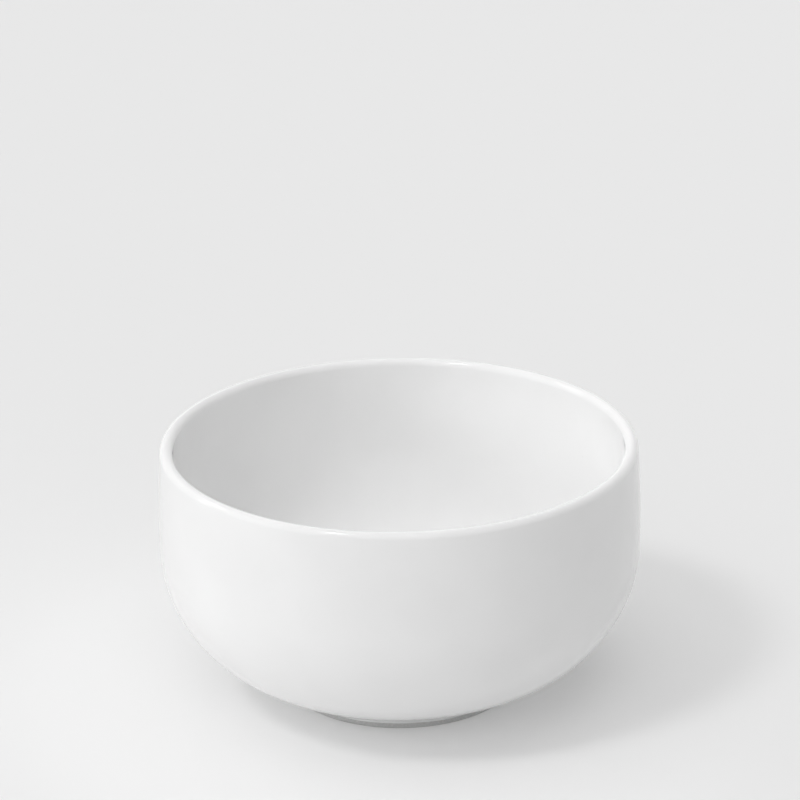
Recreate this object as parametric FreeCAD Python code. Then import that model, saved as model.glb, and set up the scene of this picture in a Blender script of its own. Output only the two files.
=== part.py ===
"""A round porcelain shaving bowl: steep sides that lean in a little at the top, a fully rounded lip,
a wide curved belly and a low foot ring. All sizes are in millimetres.

The bowl is fired in one piece, so nothing on it comes apart. It is built as the three bodies of
material that it holds:

  porcelain_body  the fired clay: wall, floor and foot ring. It is bare only where the ring stands.
  glaze_coat      one unbroken skin of glass, from the foot's outer wall up over the lip and down
                  across the whole inside.
  base_glaze      a second skin of glass, in the recess under the floor. The bare standing face of
                  the foot ring parts it from the first.

Frame: the origin is the centre of the standing face, +Z runs up the axis of the bowl.
Every surface of the bowl is turned about that axis, so each solid is one section, revolved.
"""

import FreeCAD
import Part
import math
import os

# Driving sizes of the glazed bowl.
HEIGHT = 65.8
RIM_DIAMETER = 120.0
RIM_THICKNESS = 3.3
BELLY_DIAMETER = 121.6  # the widest part
BELLY_HEIGHT = 45.0  # how high the widest part is
SHOULDER_SLOPE = 88.4  # degrees from level, where the wall turns into the shoulder
SHOULDER_RADIUS = 34.8
UNDERSIDE_SLOPE = 31.8  # degrees from level, where the shoulder turns into the underside
UNDERSIDE_RADIUS = 88.0
INNER_SHOULDER_RADIUS = 31.0
FLOOR_HEIGHT = 6.6  # the inside, at its lowest

# The foot ring.
FOOT_DIAMETER = 60.0
FOOT_INNER_DIAMETER = 52.0
FOOT_FILLET = 1.2  # where the ring's outer wall meets the underside
FOOT_EDGE_RADIUS = 0.7  # on both edges of the standing face
RECESS_FILLET = 1.0
RECESS_EDGE_HEIGHT = 2.3
RECESS_CENTRE_HEIGHT = 2.8  # the recess is a shallow dome

# The glaze, and how far above the standing face it stops.
GLAZE = 0.3
OUTER_BARE_HEIGHT = 1.55
INNER_BARE_HEIGHT = 0.8

LIP_RADIUS = RIM_THICKNESS / 2


def on_circle(centre, radius, degrees):
    """The point of a circle in the section plane, as (distance from the axis, height)."""
    angle = math.radians(degrees)
    return (centre[0] + radius * math.cos(angle), centre[1] + radius * math.sin(angle))


def towards(centre, point):
    """The direction from a centre to a point, in degrees."""
    return math.degrees(math.atan2(point[1] - centre[1], point[0] - centre[0]))


def arc(centre, radius, start, end):
    """An arc between two directions in degrees, as an edge in the XZ plane."""
    spots = [on_circle(centre, radius, a) for a in (start, (start + end) / 2, end)]
    return Part.Arc(*[FreeCAD.Vector(r, 0, z) for r, z in spots]).toShape()


def line(start, end):
    """A straight edge between two points of the section."""
    return Part.makeLine(FreeCAD.Vector(start[0], 0, start[1]), FreeCAD.Vector(end[0], 0, end[1]))


# The lip is half a circle. The wall below it is one long arc that passes through the widest part
# and is tangent to the lip, which fixes its radius.
LIP = (RIM_DIAMETER / 2 - LIP_RADIUS, HEIGHT - LIP_RADIUS)
lip_inset = BELLY_DIAMETER / 2 - LIP[0]
lip_rise = LIP[1] - BELLY_HEIGHT
WALL_RADIUS = (lip_inset**2 + lip_rise**2 - LIP_RADIUS**2) / (2 * (lip_inset - LIP_RADIUS))
WALL = (BELLY_DIAMETER / 2 - WALL_RADIUS, BELLY_HEIGHT)
LEAN = towards(WALL, LIP)  # how far the wall leans in at the lip

# Below it come the shoulder and the underside, each tangent to the one above. A slope of s degrees
# has its outward direction at s - 90.
SHOULDER_TOP = SHOULDER_SLOPE - 90
SHOULDER_END = UNDERSIDE_SLOPE - 90
SHOULDER = on_circle(WALL, WALL_RADIUS - SHOULDER_RADIUS, SHOULDER_TOP)
UNDERSIDE = on_circle(SHOULDER, SHOULDER_RADIUS - UNDERSIDE_RADIUS, SHOULDER_END)

# Inside, the wall runs parallel to the outside down to the inner shoulder. The floor is an arc
# centred on the axis and tangent to that shoulder, which fixes where they meet.
INNER_WALL_RADIUS = WALL_RADIUS - RIM_THICKNESS
INNER_SHOULDER = on_circle(WALL, INNER_WALL_RADIUS - INNER_SHOULDER_RADIUS, SHOULDER_TOP)
floor_drop = INNER_SHOULDER[1] - INNER_SHOULDER_RADIUS - FLOOR_HEIGHT
FLOOR_START = 2 * math.degrees(math.atan(floor_drop / INNER_SHOULDER[0])) - 90
FLOOR_RADIUS = INNER_SHOULDER_RADIUS + INNER_SHOULDER[0] / math.cos(math.radians(FLOOR_START))
FLOOR = (0.0, FLOOR_HEIGHT + FLOOR_RADIUS)

# The foot ring's fillet lies outside the body, against the underside and the ring's outer wall.
fillet_reach = FOOT_DIAMETER / 2 + FOOT_FILLET - UNDERSIDE[0]
FILLET = (
    FOOT_DIAMETER / 2 + FOOT_FILLET,
    UNDERSIDE[1] - math.sqrt((UNDERSIDE_RADIUS + FOOT_FILLET) ** 2 - fillet_reach**2),
)
FILLET_TOP = towards(UNDERSIDE, FILLET)

# The recess is a shallow dome, joined to the ring's inner wall by a fillet inside the recess.
dome_rise = RECESS_CENTRE_HEIGHT - RECESS_EDGE_HEIGHT
DOME_RADIUS = ((FOOT_INNER_DIAMETER / 2) ** 2 + dome_rise**2) / (2 * dome_rise)
DOME = (0.0, RECESS_CENTRE_HEIGHT - DOME_RADIUS)
recess_reach = FOOT_INNER_DIAMETER / 2 - RECESS_FILLET
RECESS = (recess_reach, DOME[1] + math.sqrt((DOME_RADIUS - RECESS_FILLET) ** 2 - recess_reach**2))
DOME_EDGE = towards(DOME, RECESS)


def outside(depth):
    """Edges from the top of the foot's outer wall up to the lip, a depth below the glaze's surface."""
    return [
        arc(FILLET, FOOT_FILLET + depth, 180, FILLET_TOP + 180),
        arc(UNDERSIDE, UNDERSIDE_RADIUS - depth, FILLET_TOP, SHOULDER_END),
        arc(SHOULDER, SHOULDER_RADIUS - depth, SHOULDER_END, SHOULDER_TOP),
        arc(WALL, WALL_RADIUS - depth, SHOULDER_TOP, LEAN),
    ]


def lip_and_inside(depth):
    """Edges over the lip and down the inside to the axis, a depth below the glaze's surface."""
    return [
        arc(LIP, LIP_RADIUS - depth, LEAN, LEAN + 180),
        arc(WALL, INNER_WALL_RADIUS + depth, LEAN, SHOULDER_TOP),
        arc(INNER_SHOULDER, INNER_SHOULDER_RADIUS + depth, SHOULDER_TOP, FLOOR_START),
        arc(FLOOR, FLOOR_RADIUS + depth, FLOOR_START, -90),
    ]


def recess(depth):
    """Edges from the centre of the recess out to the top of the ring's inner wall."""
    return [
        arc(DOME, DOME_RADIUS + depth, 90, DOME_EDGE),
        arc(RECESS, RECESS_FILLET + depth, DOME_EDGE, 0),
    ]


def foot_wall(depth):
    """Distance from the axis of the ring's outer wall, a depth below the glaze's surface."""
    return FOOT_DIAMETER / 2 - depth


def recess_wall(depth):
    """Distance from the axis of the ring's inner wall, a depth below the glaze's surface."""
    return FOOT_INNER_DIAMETER / 2 + depth


def revolve(edges):
    """The solid that a closed section makes when it is turned once about the axis."""
    wire = Part.Wire(Part.__sortEdges__(edges))
    solid = Part.Face(wire).revolve(FreeCAD.Vector(), FreeCAD.Vector(0, 0, 1), 360)
    solid = Part.Solid(solid.Shells[0])
    if solid.Volume < 0:
        solid.reverse()
    return solid


def porcelain_body():
    """The fired clay, one glaze thickness under the surface everywhere but at the bare foot."""
    outer, inner = foot_wall(GLAZE), recess_wall(GLAZE)
    edge = FOOT_EDGE_RADIUS
    ring = [
        line((outer, FILLET[1]), (outer, edge)),
        arc((outer - edge, edge), edge, 0, -90),
        line((outer - edge, 0), (inner + edge, 0)),
        arc((inner + edge, edge), edge, -90, -180),
        line((inner, edge), (inner, RECESS[1])),
    ]
    axis = line((0, RECESS_CENTRE_HEIGHT + GLAZE), (0, FLOOR_HEIGHT - GLAZE))
    return revolve(outside(GLAZE) + lip_and_inside(GLAZE) + ring + recess(GLAZE) + [axis])


def glaze_coat():
    """The skin over the outside, the lip and the inside. Its lower edge is a rounded bead."""
    skin = outside(0) + lip_and_inside(0) + outside(GLAZE) + lip_and_inside(GLAZE)
    bead_height = OUTER_BARE_HEIGHT + GLAZE
    bead = [
        line((foot_wall(0), FILLET[1]), (foot_wall(0), bead_height)),
        arc((foot_wall(GLAZE), bead_height), GLAZE, 0, -90),
        line((foot_wall(GLAZE), OUTER_BARE_HEIGHT), (foot_wall(GLAZE), FILLET[1])),
    ]
    axis = line((0, FLOOR_HEIGHT), (0, FLOOR_HEIGHT - GLAZE))
    return revolve(skin + bead + [axis])


def base_glaze():
    """The skin in the recess, with a rounded bead on the ring's inner wall."""
    skin = recess(0) + recess(GLAZE)
    bead_height = INNER_BARE_HEIGHT + GLAZE
    bead = [
        line((recess_wall(0), RECESS[1]), (recess_wall(0), bead_height)),
        arc((recess_wall(GLAZE), bead_height), GLAZE, 180, 270),
        line((recess_wall(GLAZE), INNER_BARE_HEIGHT), (recess_wall(GLAZE), RECESS[1])),
    ]
    axis = line((0, RECESS_CENTRE_HEIGHT), (0, RECESS_CENTRE_HEIGHT + GLAZE))
    return revolve(skin + bead + [axis])


def main():
    os.makedirs("parts", exist_ok=True)
    for make in (porcelain_body, glaze_coat, base_glaze):
        solid = make()
        if not solid.isValid() or not solid.isClosed():
            raise RuntimeError(f"{make.__name__} is not a sound closed solid")
        solid.exportStep(f"parts/{make.__name__}.step")
        print(f"{make.__name__}: {solid.Volume / 1000:.2f} cm3")


main()
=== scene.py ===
"""The looks of a glazed porcelain shaving bowl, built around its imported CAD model, in metres.

The bowl has three pieces, and each stands for one CAD node: the clay, the glaze over the outside,
lip and inside, and the glaze in the recess under the floor. Each is turned from its own section,
and all three share the slight unevenness that a thrown and fired bowl has.
"""

import math

import bmesh
import bpy
from mathutils import Matrix, Vector


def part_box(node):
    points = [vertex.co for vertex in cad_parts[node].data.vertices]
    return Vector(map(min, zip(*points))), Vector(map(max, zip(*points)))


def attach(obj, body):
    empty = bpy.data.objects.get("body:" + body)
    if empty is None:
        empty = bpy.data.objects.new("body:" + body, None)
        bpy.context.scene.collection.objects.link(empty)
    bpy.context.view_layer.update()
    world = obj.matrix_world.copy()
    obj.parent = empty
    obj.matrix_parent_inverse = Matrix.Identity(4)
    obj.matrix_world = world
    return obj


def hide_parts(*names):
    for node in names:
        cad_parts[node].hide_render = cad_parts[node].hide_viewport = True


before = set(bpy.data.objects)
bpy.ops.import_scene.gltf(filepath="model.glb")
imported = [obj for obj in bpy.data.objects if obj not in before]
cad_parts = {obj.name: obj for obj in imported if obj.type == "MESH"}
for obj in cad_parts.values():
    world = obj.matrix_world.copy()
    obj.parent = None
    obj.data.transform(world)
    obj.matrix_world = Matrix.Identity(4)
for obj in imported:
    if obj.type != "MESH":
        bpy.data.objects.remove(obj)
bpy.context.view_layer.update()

MM = 0.001

# The CAD model's own places.
GLAZE_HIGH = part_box("glaze_coat")[1]
BEAD_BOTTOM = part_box("glaze_coat")[0].z
RECESS_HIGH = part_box("base_glaze")[1]
RECESS_BEAD_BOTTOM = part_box("base_glaze")[0].z
HEIGHT = GLAZE_HIGH.z
BELLY_RADIUS = GLAZE_HIGH.x

# Sizes that the boxes don't give, as the CAD has them.
GLAZE = 0.3 * MM
RIM_RADIUS = 60.0 * MM
RIM_THICKNESS = 3.3 * MM
BELLY_HEIGHT = 45.0 * MM
SHOULDER_SLOPE = 88.4
SHOULDER_RADIUS = 34.8 * MM
UNDERSIDE_SLOPE = 31.8
UNDERSIDE_RADIUS = 88.0 * MM
INNER_SHOULDER_RADIUS = 31.0 * MM
FLOOR_HEIGHT = 6.6 * MM
FOOT_RADIUS = 30.0 * MM
FOOT_INNER_RADIUS = RECESS_HIGH.x - GLAZE
FOOT_FILLET = 1.2 * MM
FOOT_EDGE_RADIUS = 0.7 * MM
RECESS_FILLET = 1.0 * MM
RECESS_EDGE_HEIGHT = 2.3 * MM
RECESS_CENTRE_HEIGHT = RECESS_HIGH.z - GLAZE
LIP_RADIUS = RIM_THICKNESS / 2

# The mesh.
SEGMENTS = 384
COARSE = 1.0 * MM
MEDIUM = 0.7 * MM
FINE = 0.12 * MM

# Unevenness from throwing and firing: how far the rim is pulled in and dropped at most, and how far
# the glaze's lower edges wander.
RIM_PULL = 0.16 * MM
RIM_DROP = 0.10 * MM
BEAD_WANDER = 0.16 * MM

# The glaze: its white, drifting slowly between two values, and its flaws.
GLAZE_SHADE = (0.84, 0.84, 0.84)
GLAZE_TINT = (0.86, 0.86, 0.86)
CLOUD_SIZE = 22 * MM
SPECK_COLOUR = (0.25, 0.235, 0.21)
SPECK_SPACING = 13 * MM
SPECK_RADIUS = 0.26 * MM
SPECK_STRENGTH = 0.6
PIN_SPACING = 7 * MM
PIN_RADIUS = 0.12 * MM
PIN_DEPTH = 0.02 * MM
PEEL_SIZE = 5 * MM
PEEL_HEIGHT = 0.003 * MM
DULL_SIZE = 9 * MM

# The bare clay: its grain between two greys, and the grey it is rubbed to where it stands. The
# rubbing fades out between two heights. Both greys are partly the clay's own grey and partly
# painted shade, standing in for the shadow on the foot's outer wall.
CLAY_DARK_AND_SHADE = (0.51, 0.51, 0.505)
CLAY_LIGHT_AND_SHADE = (0.61, 0.61, 0.605)
CLAY_RUBBED = (0.46, 0.46, 0.455)
GRAIN_SIZE = 0.35 * MM
GRAIN_HEIGHT = 0.02 * MM
RUBBED_SIZE = 2.2 * MM
RUBBED_LOW = 0.02 * MM
RUBBED_HIGH = 0.25 * MM

# The camera stands in front and above, and aims just over the bowl's rim. Its distance is in
# metres from the bowl's middle, its angles are in degrees, and its lens is in millimetres.
CAMERA_DISTANCE = 0.8
CAMERA_ELEVATION = 23.991
CAMERA_TILT_UP = 2.9009
CAMERA_TURN = -0.0324
CAMERA_ROLL = 0.7903
CAMERA_LENS = 141.573

# The stage.
STAGE_RADIUS = 6.0
STAGE_GREY = (0.8, 0.8, 0.8, 1)
ROOM_GLOW = 0.75
PANEL_DISTANCE = 1.5


def on_circle(centre, radius, degrees):
    """The point of a circle in the section plane, as (distance from the axis, height)."""
    angle = math.radians(degrees)
    return (centre[0] + radius * math.cos(angle), centre[1] + radius * math.sin(angle))


def towards(centre, point):
    """The direction from a centre to a point, in degrees."""
    return math.degrees(math.atan2(point[1] - centre[1], point[0] - centre[0]))


def arc(centre, radius, start, end, step):
    """Points along an arc, both ends included, about one step apart."""
    count = max(3, math.ceil(abs(math.radians(end - start)) * radius / step))
    return [on_circle(centre, radius, start + (end - start) * k / count) for k in range(count + 1)]


def line(start, end, step):
    """Points along a straight stretch, both ends included, about one step apart."""
    count = max(1, math.ceil(math.dist(start, end) / step))
    return [
        tuple(a + (b - a) * k / count for a, b in zip(start, end)) for k in range(count + 1)
    ]


def joined(*runs):
    """Runs end to end, as one section. A point that two runs share is kept once."""
    section = []
    for run in runs:
        for spot in run:
            if not section or math.dist(spot, section[-1]) > 1e-7:
                section.append(spot)
    return section


# The section's centres, worked out as the CAD does: each arc is tangent to the one before.
LIP = (RIM_RADIUS - LIP_RADIUS, HEIGHT - LIP_RADIUS)
lip_inset = BELLY_RADIUS - LIP[0]
lip_rise = LIP[1] - BELLY_HEIGHT
WALL_RADIUS = (lip_inset**2 + lip_rise**2 - LIP_RADIUS**2) / (2 * (lip_inset - LIP_RADIUS))
WALL = (BELLY_RADIUS - WALL_RADIUS, BELLY_HEIGHT)
LEAN = towards(WALL, LIP)
SHOULDER_TOP = SHOULDER_SLOPE - 90
SHOULDER_END = UNDERSIDE_SLOPE - 90
SHOULDER = on_circle(WALL, WALL_RADIUS - SHOULDER_RADIUS, SHOULDER_TOP)
UNDERSIDE = on_circle(SHOULDER, SHOULDER_RADIUS - UNDERSIDE_RADIUS, SHOULDER_END)
INNER_WALL_RADIUS = WALL_RADIUS - RIM_THICKNESS
INNER_SHOULDER = on_circle(WALL, INNER_WALL_RADIUS - INNER_SHOULDER_RADIUS, SHOULDER_TOP)
floor_drop = INNER_SHOULDER[1] - INNER_SHOULDER_RADIUS - FLOOR_HEIGHT
FLOOR_START = 2 * math.degrees(math.atan(floor_drop / INNER_SHOULDER[0])) - 90
FLOOR_RADIUS = INNER_SHOULDER_RADIUS + INNER_SHOULDER[0] / math.cos(math.radians(FLOOR_START))
FLOOR = (0.0, FLOOR_HEIGHT + FLOOR_RADIUS)
fillet_reach = FOOT_RADIUS + FOOT_FILLET - UNDERSIDE[0]
FILLET = (
    FOOT_RADIUS + FOOT_FILLET,
    UNDERSIDE[1] - math.sqrt((UNDERSIDE_RADIUS + FOOT_FILLET) ** 2 - fillet_reach**2),
)
FILLET_TOP = towards(UNDERSIDE, FILLET)
dome_rise = RECESS_CENTRE_HEIGHT - RECESS_EDGE_HEIGHT
DOME_RADIUS = (FOOT_INNER_RADIUS**2 + dome_rise**2) / (2 * dome_rise)
DOME = (0.0, RECESS_CENTRE_HEIGHT - DOME_RADIUS)
recess_reach = FOOT_INNER_RADIUS - RECESS_FILLET
RECESS = (recess_reach, DOME[1] + math.sqrt((DOME_RADIUS - RECESS_FILLET) ** 2 - recess_reach**2))
DOME_EDGE = towards(DOME, RECESS)


def outside(depth):
    """From the top of the foot's outer wall up to the lip, a depth below the glaze's surface."""
    return joined(
        arc(FILLET, FOOT_FILLET + depth, 180, FILLET_TOP + 180, FINE),
        arc(UNDERSIDE, UNDERSIDE_RADIUS - depth, FILLET_TOP, SHOULDER_END, COARSE),
        arc(SHOULDER, SHOULDER_RADIUS - depth, SHOULDER_END, SHOULDER_TOP, MEDIUM),
        arc(WALL, WALL_RADIUS - depth, SHOULDER_TOP, LEAN, COARSE),
    )


def lip_and_inside(depth):
    """Over the lip and down the inside to the axis, a depth below the glaze's surface."""
    return joined(
        arc(LIP, LIP_RADIUS - depth, LEAN, LEAN + 180, FINE),
        arc(WALL, INNER_WALL_RADIUS + depth, LEAN, SHOULDER_TOP, COARSE),
        arc(INNER_SHOULDER, INNER_SHOULDER_RADIUS + depth, SHOULDER_TOP, FLOOR_START, MEDIUM),
        arc(FLOOR, FLOOR_RADIUS + depth, FLOOR_START, -90, COARSE),
    )


def recess(depth):
    """From the centre of the recess out to the top of the foot's inner wall."""
    return joined(
        arc(DOME, DOME_RADIUS + depth, 90, DOME_EDGE, COARSE),
        arc(RECESS, RECESS_FILLET + depth, DOME_EDGE, 0, FINE),
    )


def glaze_section():
    """The skin over the outside, lip and inside, with a rounded bead along its lower edge."""
    bead = (FOOT_RADIUS - GLAZE, BEAD_BOTTOM + GLAZE)
    return joined(
        reversed(lip_and_inside(GLAZE)),
        reversed(outside(GLAZE)),
        line((bead[0], FILLET[1]), (bead[0], BEAD_BOTTOM), FINE),
        arc(bead, GLAZE, -90, 0, FINE / 2),
        line((FOOT_RADIUS, bead[1]), (FOOT_RADIUS, FILLET[1]), FINE),
        outside(0),
        lip_and_inside(0),
    )


def recess_glaze_section():
    """The skin in the recess, with a rounded bead on the foot's inner wall."""
    bead = (FOOT_INNER_RADIUS + GLAZE, RECESS_BEAD_BOTTOM + GLAZE)
    return joined(
        recess(0),
        line((FOOT_INNER_RADIUS, RECESS[1]), (FOOT_INNER_RADIUS, bead[1]), FINE),
        arc(bead, GLAZE, 180, 270, FINE / 2),
        line((bead[0], RECESS_BEAD_BOTTOM), (bead[0], RECESS[1]), FINE),
        reversed(recess(GLAZE)),
    )


def clay_section():
    """The fired clay, one glaze thickness under the surface everywhere but at the bare foot."""
    outer = FOOT_RADIUS - GLAZE
    inner = FOOT_INNER_RADIUS + GLAZE
    edge = FOOT_EDGE_RADIUS
    return joined(
        recess(GLAZE),
        line((inner, RECESS[1]), (inner, edge), FINE),
        arc((inner + edge, edge), edge, 180, 270, FINE),
        line((inner + edge, 0), (outer - edge, 0), 2 * FINE),
        arc((outer - edge, edge), edge, -90, 0, FINE),
        line((outer, edge), (outer, FILLET[1]), FINE),
        outside(GLAZE),
        lip_and_inside(GLAZE),
    )


def wander(turn, phase):
    """A slow, uneven wave round the bowl, between -1 and 1."""
    waves = ((2, 0.34), (5, 0.26), (9, 0.22), (17, 0.18))
    return sum(share * math.sin(count * turn + phase * count) for count, share in waves)


def fired(radius, height, turn):
    """Where a point of the true section lies on the fired bowl."""
    rise = (height / HEIGHT) ** 2
    oval = 0.6 + 0.28 * math.cos(2 * turn - 0.7) + 0.12 * math.cos(3 * turn + 1.9)
    dip = 0.5 + 0.35 * math.cos(turn + 2.3) + 0.15 * math.cos(2 * turn - 1.1)
    radius -= RIM_PULL * rise * oval * radius / RIM_RADIUS
    height -= RIM_DROP * rise * dip
    return (radius * math.cos(turn), radius * math.sin(turn), height)


def lathe(name, section, edge=None):
    """A closed mesh: a section from axis to axis, turned about Z.

    An edge is (bottom, top, phase) of a stretch of the foot's wall where the glaze ends, and the
    glaze's end wanders up and down there.
    """
    mesh = bpy.data.meshes.new(name)
    bm = bmesh.new()
    rings = []
    for radius, height in section:
        count = 1 if radius < 1e-7 else SEGMENTS
        ring = []
        for k in range(count):
            turn = 2 * math.pi * k / SEGMENTS
            lift = 0.0
            if edge and height < edge[1]:
                share = (edge[1] - height) / (edge[1] - edge[0])
                lift = BEAD_WANDER * share * wander(turn, edge[2])
            ring.append(bm.verts.new(fired(radius, height + lift, turn)))
        rings.append(ring)
    for lower, upper in zip(rings, rings[1:]):
        for k in range(SEGMENTS):
            after = (k + 1) % SEGMENTS
            corners = [lower[k % len(lower)], lower[after % len(lower)]]
            corners += [upper[after % len(upper)], upper[k % len(upper)]]
            corners = list(dict.fromkeys(corners))
            face = bm.faces.new(corners)
            face.smooth = True
    bmesh.ops.recalc_face_normals(bm, faces=bm.faces)
    bm.to_mesh(mesh)
    bm.free()
    mesh.set_sharp_from_angle(angle=math.radians(50))
    piece = bpy.data.objects.new(name, mesh)
    bpy.context.scene.collection.objects.link(piece)
    return piece


def link(tree, source, target):
    tree.links.new(source, target)


def node(tree, kind, **values):
    """A shader node, with its properties and its unlinked inputs set by name."""
    made = tree.nodes.new(kind)
    for key, value in values.items():
        if hasattr(made, key):
            setattr(made, key, value)
        else:
            made.inputs[key.replace("_", " ")].default_value = value
    return made


def noise(tree, place, size, detail=2.0):
    """A noise whose lumps are about one size across, in metres. Its output runs from 0 to 1."""
    made = node(tree, "ShaderNodeTexNoise", Scale=1 / size, Detail=detail)
    link(tree, place, made.inputs["Vector"])
    return made.outputs["Fac"]


def ramp(tree, value, low, high, start, end):
    """A value carried smoothly from the range low..high to the range start..end."""
    made = node(tree, "ShaderNodeMapRange", interpolation_type="SMOOTHSTEP")
    for key, number in (("From Min", low), ("From Max", high), ("To Min", start), ("To Max", end)):
        made.inputs[key].default_value = number
    link(tree, value, made.inputs["Value"])
    return made.outputs["Result"]


def times(tree, first, second):
    made = node(tree, "ShaderNodeMath", operation="MULTIPLY")
    for value, socket in zip((first, second), made.inputs):
        if isinstance(value, float):
            socket.default_value = value
        else:
            link(tree, value, socket)
    return made.outputs[0]


def plus(tree, first, second):
    made = node(tree, "ShaderNodeMath", operation="ADD")
    link(tree, first, made.inputs[0])
    link(tree, second, made.inputs[1])
    return made.outputs[0]


def tint(tree, share, low, high):
    """A colour between two others, by a share from 0 to 1. Either end may be a socket."""
    made = node(tree, "ShaderNodeMix", data_type="RGBA")
    link(tree, share, made.inputs[0])
    for value, socket in ((low, made.inputs[6]), (high, made.inputs[7])):
        if isinstance(value, tuple):
            socket.default_value = (*value, 1)
        else:
            link(tree, value, socket)
    return made.outputs[2]


def spots(tree, place, spacing, radius, soft):
    """Sparse round spots, 1 inside and 0 outside: random points in space that the surface meets."""
    cells = node(tree, "ShaderNodeTexVoronoi", Scale=1 / spacing)
    link(tree, place, cells.inputs["Vector"])
    return ramp(tree, cells.outputs["Distance"], soft * radius / spacing, radius / spacing, 1.0, 0.0)


def bumps(tree, shader, height):
    """Relief whose height is in metres."""
    made = node(tree, "ShaderNodeBump", Strength=1.0, Distance=1.0)
    link(tree, height, made.inputs["Height"])
    link(tree, made.outputs["Normal"], shader.inputs["Normal"])


def empty_material(name):
    """A material's tree, its shader and the place of each surface point in metres."""
    material = bpy.data.materials.new(name)
    material.use_nodes = True
    tree = material.node_tree
    shader = tree.nodes["Principled BSDF"]
    place = tree.nodes.new("ShaderNodeTexCoord").outputs["Object"]
    return material, tree, shader, place


def white_glaze(name):
    """Clear glass over white clay: even and glossy, with a slight peel, pinholes and iron specks."""
    material, tree, shader, place = empty_material(name)
    cloud = ramp(tree, noise(tree, place, CLOUD_SIZE), 0.3, 0.7, 0.0, 1.0)
    body = tint(tree, cloud, GLAZE_SHADE, GLAZE_TINT)
    speck = times(tree, spots(tree, place, SPECK_SPACING, SPECK_RADIUS, 0.3), SPECK_STRENGTH)
    pin = spots(tree, place, PIN_SPACING, PIN_RADIUS, 0.4)
    link(tree, tint(tree, speck, body, SPECK_COLOUR), shader.inputs["Base Color"])
    dull = ramp(tree, noise(tree, place, DULL_SIZE), 0.3, 0.7, 0.03, 0.05)
    link(tree, dull, shader.inputs["Roughness"])
    peel = times(tree, noise(tree, place, PEEL_SIZE, 1.0), PEEL_HEIGHT)
    pit = times(tree, pin, -PIN_DEPTH)
    bumps(tree, shader, plus(tree, peel, pit))
    shader.inputs["IOR"].default_value = 1.5
    return material


def bare_clay_and_shade(name):
    """Fired clay with no glaze: matt, fine-grained, rubbed a little grey where it stands, and grey
    all over, partly its own grey and partly painted shade for the shadowed foot wall.
    """
    material, tree, shader, place = empty_material(name)
    grain = ramp(tree, noise(tree, place, GRAIN_SIZE, 3.0), 0.3, 0.7, 0.0, 1.0)
    body = tint(tree, grain, CLAY_DARK_AND_SHADE, CLAY_LIGHT_AND_SHADE)
    axes = node(tree, "ShaderNodeSeparateXYZ")
    link(tree, place, axes.inputs[0])
    low = ramp(tree, axes.outputs["Z"], RUBBED_LOW, RUBBED_HIGH, 1.0, 0.0)
    rubbed = ramp(tree, noise(tree, place, RUBBED_SIZE, 4.0), 0.42, 0.68, 0.0, 0.7)
    wear = times(tree, low, rubbed)
    link(tree, tint(tree, wear, body, CLAY_RUBBED), shader.inputs["Base Color"])
    link(tree, ramp(tree, wear, 0.0, 1.0, 0.82, 0.6), shader.inputs["Roughness"])
    rough = times(tree, noise(tree, place, GRAIN_SIZE, 3.0), GRAIN_HEIGHT)
    bumps(tree, shader, rough)
    return material


def matt_floor(name):
    """A plain pale surface."""
    material, _, shader, _ = empty_material(name)
    shader.inputs["Base Color"].default_value = STAGE_GREY
    shader.inputs["Roughness"].default_value = 1.0
    shader.inputs["Specular IOR Level"].default_value = 0.0
    return material


def piece(name, section, material, replaced, slot, edge=None):
    """One finished piece of the bowl, standing for one CAD node."""
    made = lathe(name, section, edge)
    made.data.materials.append(material)
    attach(made, "root")
    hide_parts(replaced)
    return made


bowl = [
    # The clay's grey is partly its own and partly painted shade on the foot's outer wall.
    piece("clay_body", clay_section(), bare_clay_and_shade("bare_clay_and_shade"), "porcelain_body", "biscuit"),
    piece(
        "glaze_skin",
        glaze_section(),
        white_glaze("white_glaze"),
        "glaze_coat",
        "glaze",
        (BEAD_BOTTOM, FILLET[1], 0.4),
    ),
    piece(
        "recess_glaze",
        recess_glaze_section(),
        white_glaze("recess_glaze"),
        "base_glaze",
        "glaze",
        (RECESS_BEAD_BOTTOM, RECESS[1], 2.1),
    ),
]


def make_camera():
    data = bpy.data.cameras.new("camera")
    data.sensor_width = 36
    data.lens = CAMERA_LENS
    data.clip_start = 0.01
    camera = bpy.data.objects.new("camera", data)
    bpy.context.scene.collection.objects.link(camera)
    elevation = math.radians(CAMERA_ELEVATION)
    centre = Vector((0, 0, HEIGHT / 2))
    place = centre + CAMERA_DISTANCE * Vector((0, -math.cos(elevation), math.sin(elevation)))
    forward = (centre - place).normalized()
    right = Vector((1, 0, 0))
    up = right.cross(forward)
    tilt = Matrix.Rotation(math.radians(CAMERA_TILT_UP), 3, right)
    forward, up = tilt @ forward, tilt @ up
    turn = Matrix.Rotation(math.radians(CAMERA_TURN), 3, up)
    forward, right = turn @ forward, turn @ right
    roll = Matrix.Rotation(math.radians(CAMERA_ROLL), 3, forward)
    right, up = roll @ right, roll @ up
    facing = Matrix((right, up, -forward)).transposed().to_4x4()
    camera.matrix_world = Matrix.Translation(place) @ facing
    bpy.context.scene.camera = camera


def make_floor():
    mesh = bpy.data.meshes.new("floor")
    bm = bmesh.new()
    bmesh.ops.create_circle(bm, cap_ends=True, radius=STAGE_RADIUS, segments=96)
    bm.to_mesh(mesh)
    bm.free()
    made = bpy.data.objects.new("floor", mesh)
    made.data.materials.append(matt_floor("floor"))
    bpy.context.scene.collection.objects.link(made)
    return made


make_camera()
floor = make_floor()


def group(name, members):
    """A collection that lights can be aimed at."""
    made = bpy.data.collections.new(name)
    for member in members:
        made.objects.link(member)
    return made


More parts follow.
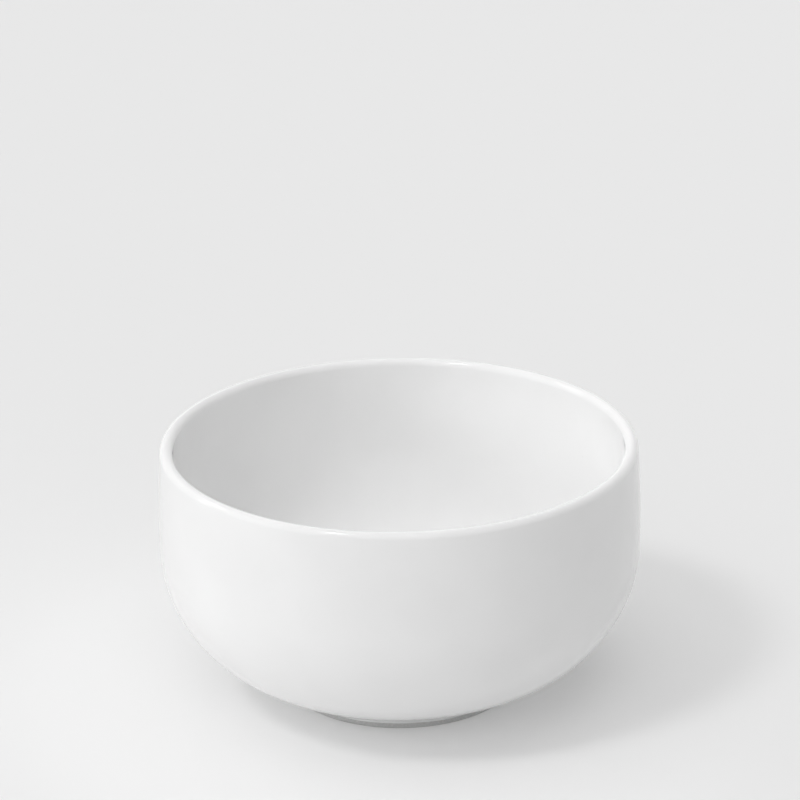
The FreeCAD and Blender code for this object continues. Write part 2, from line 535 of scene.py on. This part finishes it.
def aimed(data, azimuth, elevation, lit):
    """A light that shines on one group from one direction, and that direction."""
    light = bpy.data.objects.new(data.name, data)
    az, el = math.radians(azimuth), math.radians(elevation)
    direction = Vector((math.cos(az) * math.cos(el), math.sin(az) * math.cos(el), math.sin(el)))
    light.rotation_euler = direction.to_track_quat("Z", "Y").to_euler()
    bpy.context.scene.collection.objects.link(light)
    light.light_linking.receiver_collection = lit
    return light, direction


def sun(name, azimuth, elevation, angle, strength, lit):
    """A soft light on one group from one direction. Angles are in degrees."""
    data = bpy.data.lights.new(name, "SUN")
    data.energy = strength
    data.angle = math.radians(angle)
    return aimed(data, azimuth, elevation, lit)[0]


on_floor = group("lit_floor", [floor])
on_bowl = group("lit_bowl", bowl)


def soft(name, azimuth, elevation, angle, strength):
    """A light that shapes the bowl and doesn't mirror in the glaze."""
    light = sun(name, azimuth, elevation, angle, strength, on_bowl)
    light.visible_glossy = False
    return light


def panel(name, azimuth, elevation, width, height, glow):
    """A rectangular lamp, sized in degrees, that only shows as a reflection in the glaze."""
    data = bpy.data.lights.new(name, "AREA")
    data.shape = "RECTANGLE"
    data.size = 2 * PANEL_DISTANCE * math.tan(math.radians(width / 2))
    data.size_y = 2 * PANEL_DISTANCE * math.tan(math.radians(height / 2))
    data.energy = glow * math.pi * data.size * data.size_y
    light, direction = aimed(data, azimuth, elevation, on_bowl)
    light.location = PANEL_DISTANCE * direction + Vector((0, 0, HEIGHT))
    light.visible_diffuse = False
    light.visible_camera = False
    return light


def make_room():
    """A pale room that only shows behind the floor and in reflections."""
    world = bpy.data.worlds.new("world")
    world.use_nodes = True
    world.node_tree.nodes["Background"].inputs["Color"].default_value = (1, 1, 1, 1)
    world.node_tree.nodes["Background"].inputs["Strength"].default_value = ROOM_GLOW
    world.cycles_visibility.diffuse = False
    bpy.context.scene.world = world


def light_floor():
    """A firm shadow to the right, softened from all round and by light that nothing blocks."""
    sun("floor_key", -145, 54, 12, 0.5, on_floor)
    sun("floor_top", 0, 90, 60, 0.85, on_floor)
    sun("floor_dome", 0, 90, 110, 0.55, on_floor)
    sun("floor_front", -90, 25, 60, 0.8, on_floor)
    sun("floor_left", -150, 25, 60, 0.65, on_floor)
    sun("floor_back_left", 150, 25, 60, 0.4, on_floor)
    sun("floor_fill", 0, 90, 1, 0.58, on_floor).data.use_shadow = False


def light_bowl():
    """Soft light from all round, most of it from the front left and from behind, and three lamps.

    The one called through casts no shadow, so the back wall doesn't keep it off the inside.
    """
    soft("front_left_top", -120, 70, 36, 0.64)
    soft("front_left_high", -135, 48, 36, 0.75)
    soft("front_high", -105, 48, 36, 0.38)
    soft("front_low", -90, 8, 36, 0.3)
    soft("front_left_low", -150, 14, 16, 0.57)
    soft("left", 180, 25, 36, 0.48)
    soft("back_left_low", 150, 14, 16, 0.37)
    soft("right", -30, 25, 36, 0.14)
    soft("right_low", 0, 8, 36, 0.46)
    soft("back_right_low", 45, 3, 10, 0.38)
    soft("back_right_top", 60, 70, 36, 0.88)
    soft("through", 90, 20, 40, 1.3).data.use_shadow = False
    panel("lamp", -142, 66, 7, 7, 30.0)
    panel("window", 156, 39, 18, 6, 4.0)
    panel("strip", 167, 20, 8, 34, 1.6)


make_room()
light_floor()
light_bowl()
bpy.context.scene.view_settings.view_transform = "Standard"
